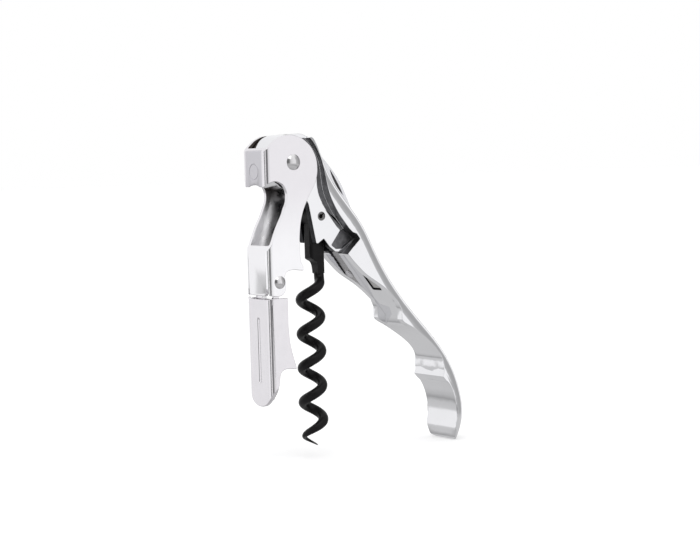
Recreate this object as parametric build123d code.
from build123d import *
import os

# Double-hinged lever corkscrew, standing open with its worm upright, in millimetres.
# +Z is up along the worm, +X runs from the two levers towards the handle, and every
# hinge axis runs along Y.  The origin is on the worm's axis, level with its point.

# ---- driving dimensions -------------------------------------------------------------
PIVOT_X = -9.1              # main pivot, from the worm's axis
PIVOT_Z = 88.0              # main pivot, above the worm's point
OPEN_ANGLE = 38.6           # how far the handle stands away from its folded place

PLATE = 1.3                 # sheet thickness of both levers
LEVER_HALF = 6.4            # half of the levers' outside width
WEB_FACE = -10.2            # outer face of the levers' webs, from the main pivot
BEND = 1.9                  # outside radius of the folded sheet
LINK_X, LINK_Z = -6.2, -35.9    # hinge between the levers, from the main pivot
EAR_HALF = 4.85             # outside of the lower lever's ears, inside the upper lever
EAR_RELIEF = 4.0            # the ears' feet are thinned to here, clear of the folded worm

HANDLE_HALF = 7.6           # half of the handle's width
CHEEK_HALF = 4.5            # half of the width over the cheeks
SLOT_HALF = 2.3             # half of the slot for the worm's hub
CHANNEL_HALF = 5.0          # half of the channel that the folded worm lies in
CHANNEL_FLOOR = 1.7         # floor of that channel, in the handle's frame
POCKET_FLOOR = 3.3          # from the middle plane to the floor of the foot's pocket
BLADE_HALF = 0.9            # half of the blade's thickness
BLADE_GAP = 0.15            # clearance each side of the blade
NICK_DEPTH = 0.45           # depth of the blade's nail nick
TANG_ROOM = 4.9             # radius of the slot's round end, where the tang turns
ARCH = 7.0                  # height of the rounded back, from its edges to its crown
ARCH_HALF = 7.7             # half width of the arch where it would stand upright

RIVET_R, RIVET_HEAD_R, RIVET_DOME = 1.6, 2.4, 0.9
LINK_R, LINK_HEAD_R, LINK_DOME = 1.2, 1.95, 0.8
WORM_PIN_R, WORM_PIN_BORE = 1.3, 0.7
BLADE_PIN_R = 1.2
RUN = 0.05                  # radial running clearance of every moving bore
WASHER_T, WASHER_R = 0.45, 3.3
WASHER_GAP = 0.07           # from the cheeks to the washers
THROUGH = 10.0              # half length of a cutter that passes right through

WORM_PIN_X, WORM_PIN_Z = -1.75, -20.0       # in the handle's frame
BLADE_PIN_X, BLADE_PIN_Z = 6.6, -3.0        # in the handle's frame

WIRE_R = 1.55               # worm wire
HELIX_R = 3.0               # centreline radius of the worm
PITCH = 10.6
TURNS = 4.8
TAPER_TURNS = 0.75          # length of the sharpened point
POINT_R = 0.18
HELIX_TOP_ANGLE = -36.0     # where the wire enters its first turn
HUB_HALF = 2.15             # half of the hub's thickness
SHANK_R = 1.2               # wire end held in the hub
SHANK_LENGTH = 7.0

SPRING_HALF = 1.95          # half width of the flat spring
SPRING_RIVET_Z = -48.0      # in the handle's frame
SPRING_RIVET_R, SPRING_RIVET_HEAD = 0.9, 1.5

HANDLE_TO_ROW = Pos(PIVOT_X, 0, PIVOT_Z) * Rot(0, -OPEN_ANGLE, 0)
LEVER_TO_ROW = Pos(PIVOT_X, 0, PIVOT_Z)


# ---- helpers ------------------------------------------------------------------------
def face_of(*edges):
    """Closed outline in the XZ plane, as a face."""
    return Plane.XZ * make_face(Curve() + list(edges))


def slab(face, half):
    """Outline thickened by the same amount each side of the middle plane."""
    return extrude(face, half, both=True)


def side_slab(face, inner, outer):
    """The pair of layers between two distances from the middle plane."""
    return slab(face, outer) - slab(face, inner)


def rod(x, z, radius, half):
    """Round bar along Y."""
    return Pos(x, 0, z) * Rot(90, 0, 0) * Cylinder(radius, 2 * half)


def stud(x, radius, length):
    """Round bar along X, centred at x on the spring's rivet."""
    return Pos(x, 0, SPRING_RIVET_Z) * Rot(0, 90, 0) * Cylinder(radius, length)


def dome(radius, height):
    """Low rivet head on the XY plane, rising along +Z."""
    ball = (radius ** 2 + height ** 2) / (2 * height)
    cap = Pos(0, 0, height - ball) * Sphere(ball)
    return cap & Pos(0, 0, height / 2) * Box(3 * radius, 3 * radius, height)


def rivet(x, z, shank, head, height, half):
    """Shank across the width with a domed head on each side."""
    cap = dome(head, height)
    left = Pos(x, -half, z) * Rot(90, 0, 0) * cap
    right = Pos(x, half, z) * Rot(-90, 0, 0) * cap
    return rod(x, z, shank, half + 0.01) + left + right


def washer(x, z, bore, radius, start, thickness):
    """Flat ring around Y that starts at a distance from the middle plane."""
    ring = Circle(radius) - Circle(bore)
    return Pos(x, start, z) * Rot(-90, 0, 0) * extrude(ring, thickness)


def channel_prism(low, high):
    """U section of folded sheet, run along Z between two heights."""
    length = high - low
    depth = 30.0
    outer = Pos(WEB_FACE + depth / 2, 0) * Rectangle(depth, 2 * LEVER_HALF)
    outer = fillet(outer.vertices().group_by(Axis.X)[0], BEND)
    inner_half = LEVER_HALF - PLATE
    inner = Pos(WEB_FACE + PLATE + depth / 2, 0) * Rectangle(depth, 2 * inner_half)
    inner = fillet(inner.vertices().group_by(Axis.X)[0], BEND - PLATE)
    return Pos(0, 0, low) * extrude(outer - inner, length)


# ---- levers, in the main pivot's frame ----------------------------------------------
def upper_lever():
    web = WEB_FACE
    outline = face_of(
        Polyline((web, -7.3), (web, 3.5), (-8.4, 5.0)),
        ThreePointArc((-8.4, 5.0), (-0.8, 8.2), (8.75, -0.9)),
        Spline((8.75, -0.9), (8.2, -5.5), (5.3, -10.5), (2.75, -15.8), (1.6, -22.0),
               (1.55, -28.0), tangents=[(0.05, -1), (0, -1)]),
        Polyline((1.55, -28.0), (1.85, -30.2), (2.6, -31.5), (2.6, -32.8), (-3.2, -32.8)),
        ThreePointArc((-3.2, -32.8), (-3.77, -33.03), (-4.0, -33.6)),
        Line((-4.0, -33.6), (-4.0, -37.4)),
        ThreePointArc((-4.0, -37.4), (-4.7, -39.4), (-6.6, -40.1)),
        Polyline((-6.6, -40.1), (-9.0, -39.7), (web, -38.0), (web, -26.4), (-8.8, -24.6)),
        Spline((-8.8, -24.6), (-6.9, -20.1), (-4.05, -14.7), (-2.7, -10.6),
               tangents=[(0.35, 1), (0.1, 1)]),
        ThreePointArc((-2.7, -10.6), (-5.1, -6.1), (-9.2, -6.2)),
        Line((-9.2, -6.2), (web, -7.3)),
    )
    body = slab(outline, LEVER_HALF) & channel_prism(-42.0, 10.0)
    body -= rod(0, 0, RIVET_R + RUN, THROUGH)
    body -= rod(LINK_X, LINK_Z, LINK_R, THROUGH)
    return body


def lower_lever():
    web = WEB_FACE
    outline = face_of(
        Polyline((web, -71.6), (web, -41.4), (-9.4, -40.7), (-3.5, -40.7), (-3.5, -49.5)),
        Spline((-3.5, -49.5), (-2.9, -55.0), (-1.0, -61.9), tangents=[(0, -1), (0.3, -1)]),
        Polyline((-1.0, -61.9), (-0.9, -62.5), (-5.6, -62.5)),
        Spline((-5.6, -62.5), (-6.6, -63.4), (-7.3, -66.7), (-8.7, -71.2),
               tangents=[(-1, -0.1), (-0.5, -1)]),
        Polyline((-8.7, -71.2), (-8.7, -74.0), (web, -74.0), (web, -71.6)),
    )
    body = slab(outline, LEVER_HALF) & channel_prism(-75.0, -40.0)
    # the web's free end is rounded across its width
    end = Pos(web, 0, -67.0) * Rot(0, 90, 0) * Cylinder(6.6, 12)
    body &= end + Pos(0, 0, -52.0) * Box(40, 30, 30)
    # ears: set in from the flanges, they reach up between the upper lever's plates
    ear = face_of(
        Polyline((-7.7, -41.9), (-7.7, -38.6), (-8.6, -36.8), (-8.7, -35.9)),
        ThreePointArc((-8.7, -35.9), (-6.2, -33.4), (-3.7, -35.9)),
        Polyline((-3.7, -35.9), (-3.9, -37.4), (-5.7, -38.8), (-5.7, -41.9), (-7.7, -41.9)),
    )
    step = face_of(Polyline((-9.0, -42.4), (-9.0, -40.9), (-5.7, -40.9), (-5.7, -42.4),
                            (-9.0, -42.4)))
    body += side_slab(ear, EAR_HALF - PLATE, EAR_HALF)
    body += side_slab(step, EAR_HALF - PLATE, LEVER_HALF)
    body -= Pos(-5.9, 0, -41.0) * Box(5.8, 2 * EAR_RELIEF, 3.6)
    body -= rod(LINK_X, LINK_Z, LINK_R + RUN, THROUGH)
    return body


# ---- handle, in its own frame: the main pivot at the origin, the tail down -Z --------
BACK = [(9.4, -22.0), (9.3, -33.0), (7.7, -42.0), (6.4, -52.0), (6.2, -61.0),
        (6.9, -72.0), (7.5, -82.0), (6.6, -91.5), (4.0, -99.5), (-0.9, -106.9)]


def shell_face():
    return face_of(
        # recess edge that the lever's plate nests against
        ThreePointArc((8.9, 2.2), (9.2, -0.6), (8.95, -3.4)),
        Spline((8.95, -3.4), (8.3, -6.4), (5.75, -10.9), (3.2, -15.9), (2.05, -22.0),
               (2.0, -28.0), tangents=[(-0.1, -1), (0, -1)]),
        Polyline((2.0, -28.0), (2.3, -30.0), (3.1, -31.3), (3.1, -33.4), (-3.4, -33.9),
                 (-3.3, -37.0), (-2.7, -41.5)),
        # finger side: a waist, the notch for the lower lever's tooth, two finger hollows
        Spline((-2.7, -41.5), (-1.0, -47.3), (0.9, -54.0), (1.5, -58.2),
               tangents=[(0.15, -1), (0.15, -1)]),
        Polyline((1.5, -58.2), (0.9, -61.0), (-1.1, -63.6)),
        Spline((-1.1, -63.6), (-0.3, -66.8), (1.6, -72.0), (3.3, -78.6), (2.9, -84.6),
               (0.6, -88.0), tangents=[(-0.25, -1), (-0.5, -1)]),
        Polyline((0.6, -88.0), (-0.9, -88.9), (-0.8, -91.0)),
        Spline((-0.8, -91.0), (-0.8, -94.4), (-2.2, -98.4), (-5.6, -103.2), (-8.3, -106.0),
               tangents=[(0.5, -1), (-0.6, -1)]),
        # tail
        Line((-8.3, -106.0), (-9.4, -108.1)),
        Spline((-9.4, -108.1), (-8.2, -110.0), (-4.6, -109.4), (-0.9, -106.9),
               tangents=[(0, -1), (0.7, 1)]),
        Spline(*reversed(BACK), tangents=[(0.7, 1), (0, 1)]),
        Spline((9.4, -22.0), (9.2, -10.0), (9.9, -4.5), (10.3, -1.0), (9.9, 1.6), (8.9, 2.2),
               tangents=[(0, 1), (-1, 0.1)]),
    )


def arch_cutter():
    """Everything outside the arched back.  Its path leaves the handle at the head."""
    crown = Spline((14.5, 4.0), (12.4, -4.0), (10.1, -11.0), *BACK,
                   (-6.2, -110.4), (-14.0, -112.6), tangents=[(-0.2, -1), (-1, -0.2)])
    path = Plane.XZ * crown
    outward = Plane(origin=path @ 0, z_dir=path % 0, x_dir=(0, 1, 0))
    room = 3.0
    section = Pos(0, (room - ARCH) / 2) * Rectangle(20, room + ARCH)
    section -= Pos(0, -ARCH) * Ellipse(ARCH_HALF, ARCH)
    mirrored = Rot(0, 0, 180) * section
    side = outward.y_dir.X
    return sweep(outward * (section if side > 0 else mirrored), path=path)


def cheek_face():
    return face_of(
        ThreePointArc((5.4, 6.44), (-8.0, 2.56), (-5.6, -6.26)),
        Spline((-5.6, -6.26), (-3.6, -9.6), (-3.1, -14.2), tangents=[(0.7, -0.7), (-0.3, -1)]),
        Polyline((-3.1, -14.2), (-8.6, -25.0), (-8.2, -25.5), (-5.6, -25.8), (-5.6, -29.0),
                 (-5.0, -31.6), (-3.3, -33.4), (-3.4, -33.9), (4.0, -34.5), (6.5, -20.0),
                 (7.6, -9.0)),
        Spline((7.6, -9.0), (9.4, -4.5), (10.1, -1.0), (9.3, 3.1), (7.5, 5.0), (5.4, 6.44),
               tangents=[(0.6, 1), (-0.77, 0.64)]),
    )


def foot_pocket():
    """Deep end of the side recess, where the upper lever's foot beds."""
    outline = face_of(Polyline((0.9, -27.9), (-4.7, -29.2), (-4.2, -31.1), (-2.5, -32.6),
                               (3.1, -33.2), (3.1, -31.3), (2.3, -30.0), (2.0, -28.4),
                               (0.9, -27.9)))
    return side_slab(outline, POCKET_FLOOR, HANDLE_HALF + 1)


def worm_slot():
    """Space between the cheeks for the hub, with a ledge for the flat spring behind it."""
    return slab(face_of(Polyline((-12, -9.6), (-4.0, -11.0), (3.1, -14.6), (3.1, -54.0),
                                 (0.6, -54.0), (-12, -40.0), (-12, -9.6))), SLOT_HALF)


def worm_channel():
    """Trough along the finger side that the folded worm lies in."""
    floor = CHANNEL_FLOOR
    return slab(face_of(Polyline((-12, -34.6), (floor - 1.2, -34.6), (floor, -36.0),
                                 (floor, -64.6), (-1.0, -69.5), (-12, -69.5),
                                 (-12, -34.6))), CHANNEL_HALF)


def blade_slot():
    groove = face_of(Polyline((7.2, 10.5), (4.2, 4.4), (2.75, 0.3), (2.6, -6.0), (3.7, -8.0),
                              (3.9, -14.0), (4.7, -22.5), (6.2, -29.0), (8.4, -32.2),
                              (15, -32.2), (15, 10.5), (7.2, 10.5)))
    half = BLADE_HALF + BLADE_GAP
    return slab(groove, half) + rod(BLADE_PIN_X, BLADE_PIN_Z, TANG_ROOM, half)


def handle_body():
    shell = slab(shell_face(), HANDLE_HALF) - arch_cutter()
    body = shell + slab(cheek_face(), CHEEK_HALF)
    body -= foot_pocket()
    body -= worm_slot()
    body -= worm_channel()
    body -= blade_slot()
    body -= rod(0, 0, RIVET_R, THROUGH)
    body -= rod(WORM_PIN_X, WORM_PIN_Z, WORM_PIN_R, THROUGH)
    body -= rod(BLADE_PIN_X, BLADE_PIN_Z, BLADE_PIN_R, THROUGH)
    body -= stud(3.1, SPRING_RIVET_R, 4.0)
    return body


def foil_blade():
    outline = face_of(
        ThreePointArc((2.85, -4.4), (4.7, 0.5), (9.2, 0.05)),
        Spline((9.2, 0.05), (11.3, -3.6), (12.4, -12.0), (12.2, -19.0), (10.95, -24.4),
               (8.3, -29.6), tangents=[(0.8, -0.6), (-0.8, -1)]),
        Spline((8.3, -29.6), (6.8, -27.7), (5.1, -22.0), (4.3, -14.0), (4.2, -8.0),
               tangents=[(-0.8, 0.7), (0, 1)]),
        Spline((4.2, -8.0), (3.5, -6.6), (2.85, -4.4), tangents=[(-0.2, 1), (-0.2, 1)]),
    )
    body = slab(outline, BLADE_HALF)
    # nail nick: a slim crescent inside the spine, sunk in the left face
    nick = face_of(ThreePointArc((11.9, -12.8), (10.6, -17.6), (10.6, -22.4)),
                   ThreePointArc((10.6, -22.4), (11.4, -17.9), (11.9, -12.8)))
    body -= Pos(0, -BLADE_HALF, 0) * slab(nick, NICK_DEPTH)
    return body - rod(BLADE_PIN_X, BLADE_PIN_Z, BLADE_PIN_R + RUN, THROUGH)


def worm_pin():
    """Rolled pin with a split along it."""
    split = Pos(WORM_PIN_R, 0) * Rectangle(1.6, 0.4)
    pin = extrude(Circle(WORM_PIN_R) - Circle(WORM_PIN_BORE) - split, CHEEK_HALF - 0.45, both=True)
    return Pos(WORM_PIN_X, 0, WORM_PIN_Z) * Rot(90, 0, 0) * pin


def back_spring():
    """Flat spring on the handle's inner floor; its free end bears on the hub."""
    strip = face_of(
        Polyline((2.1, -16.4), (3.0, -15.6), (3.0, -53.4), (2.1, -53.4), (2.1, -16.4)),
    )
    return slab(strip, SPRING_HALF) - stud(2.5, SPRING_RIVET_R, 3.0)


def spring_rivet():
    return stud(3.4, SPRING_RIVET_R, 3.2) + stud(2.0, SPRING_RIVET_HEAD, 0.2)


# ---- worm, in the row's frame --------------------------------------------------------
def pin_in_row():
    spot = HANDLE_TO_ROW * Pos(WORM_PIN_X, 0, WORM_PIN_Z)
    return spot.position.X, spot.position.Z


PIN_X, PIN_Z = pin_in_row()
HUB_FOOT_Z = PIN_Z - 17.3
SHANK_X, SHANK_Y = PIN_X + 1.25, -0.3
HELIX_TOP_Z = PITCH * TURNS


def worm():
    start = HELIX_TOP_ANGLE - 360 * TURNS
    split = TAPER_TURNS * PITCH
    whole = Helix(PITCH, HELIX_TOP_Z - split, HELIX_R)
    whole = Pos(0, 0, split) * Rot(0, 0, start + 360 * TAPER_TURNS) * whole
    point = Rot(0, 0, start) * Helix(PITCH, split, HELIX_R)
    full_section = Plane(origin=whole @ 0, z_dir=whole % 0) * Circle(WIRE_R)
    body = sweep(full_section, path=whole, is_frenet=True)
    fine = Plane(origin=point @ 0, z_dir=point % 0) * Circle(POINT_R)
    broad = Plane(origin=point @ 1, z_dir=point % 1) * Circle(WIRE_R)
    body += sweep([fine, broad], path=point, multisection=True, is_frenet=True)
    top, along = whole @ 1, whole % 1
    neck_foot = Vector(SHANK_X, SHANK_Y, HUB_FOOT_Z)
    neck = Spline(top, neck_foot, tangents=[along, (0, 0, 1)])
    body += sweep(Plane(origin=top, z_dir=along) * Circle(WIRE_R), path=neck)
    shank = Pos(SHANK_X, SHANK_Y, HUB_FOOT_Z) * extrude(Circle(SHANK_R), SHANK_LENGTH)
    return body + shank


def worm_hub():
    """Flat block on the pin, drawn in towards the wire at its foot."""
    half, round_r, corner = 2.6, 3.4, 1.0
    left, right, low = PIN_X - half, PIN_X + half, HUB_FOOT_Z
    outline = face_of(
        Line((left, PIN_Z), (left, low + 5.0)),
        Spline((left, low + 5.0), (left + 1.8, low + 3.4), (left + 2.5, low - 0.4),
               tangents=[(0.2, -1), (0.05, -1)]),
        Polyline((left + 2.5, low - 0.4), (right, low - 0.4), (right, PIN_Z), (left, PIN_Z)),
    )
    post = Pos(PIN_X, 0, low - 1) * extrude(
        RectangleRounded(2 * half, 2 * HUB_HALF, corner), PIN_Z - low + 1)
    # the foot also narrows across its thickness, down to the wire
    taper = Plane.YZ * make_face(Polyline(
        (-HUB_HALF, PIN_Z), (-HUB_HALF, low + 5.0), (SHANK_Y - 1.4, low - 0.4),
        (SHANK_Y + 1.4, low - 0.4), (HUB_HALF, low + 5.0), (HUB_HALF, PIN_Z),
        (-HUB_HALF, PIN_Z)))
    body = slab(outline, HUB_HALF) & post & extrude(taper, THROUGH, both=True)
    body += rod(PIN_X, PIN_Z, round_r, HUB_HALF)
    body -= rod(PIN_X, PIN_Z, WORM_PIN_R + RUN, THROUGH)
    return body - Pos(SHANK_X, SHANK_Y, low - 1) * extrude(Circle(SHANK_R), SHANK_LENGTH + 1)


# ---- the pieces ----------------------------------------------------------------------
def build_pieces():
    washer_start = CHEEK_HALF + WASHER_GAP
    left_washer = washer(0, 0, RIVET_R + RUN, WASHER_R, -washer_start - WASHER_T, WASHER_T)
    right_washer = washer(0, 0, RIVET_R + RUN, WASHER_R, washer_start, WASHER_T)
    return {
        "handle_body": HANDLE_TO_ROW * handle_body(),
        "main_rivet": LEVER_TO_ROW * rivet(0, 0, RIVET_R, RIVET_HEAD_R, RIVET_DOME,
                                           LEVER_HALF + 0.05),
        "pivot_washer_left": LEVER_TO_ROW * left_washer,
        "pivot_washer_right": LEVER_TO_ROW * right_washer,
        "worm_pin": HANDLE_TO_ROW * worm_pin(),
        "blade_pin": HANDLE_TO_ROW * rod(BLADE_PIN_X, BLADE_PIN_Z, BLADE_PIN_R, CHEEK_HALF),
        "back_spring": HANDLE_TO_ROW * back_spring(),
        "spring_rivet": HANDLE_TO_ROW * spring_rivet(),
        "foil_blade": HANDLE_TO_ROW * foil_blade(),
        "upper_lever": LEVER_TO_ROW * upper_lever(),
        "link_rivet": LEVER_TO_ROW * rivet(LINK_X, LINK_Z, LINK_R, LINK_HEAD_R, LINK_DOME,
                                           LEVER_HALF),
        "lower_lever": LEVER_TO_ROW * lower_lever(),
        "worm_hub": worm_hub(),
        "worm": worm(),
    }


os.makedirs("parts", exist_ok=True)
for name, piece in build_pieces().items():
    export_step(piece, f"parts/{name}.step")
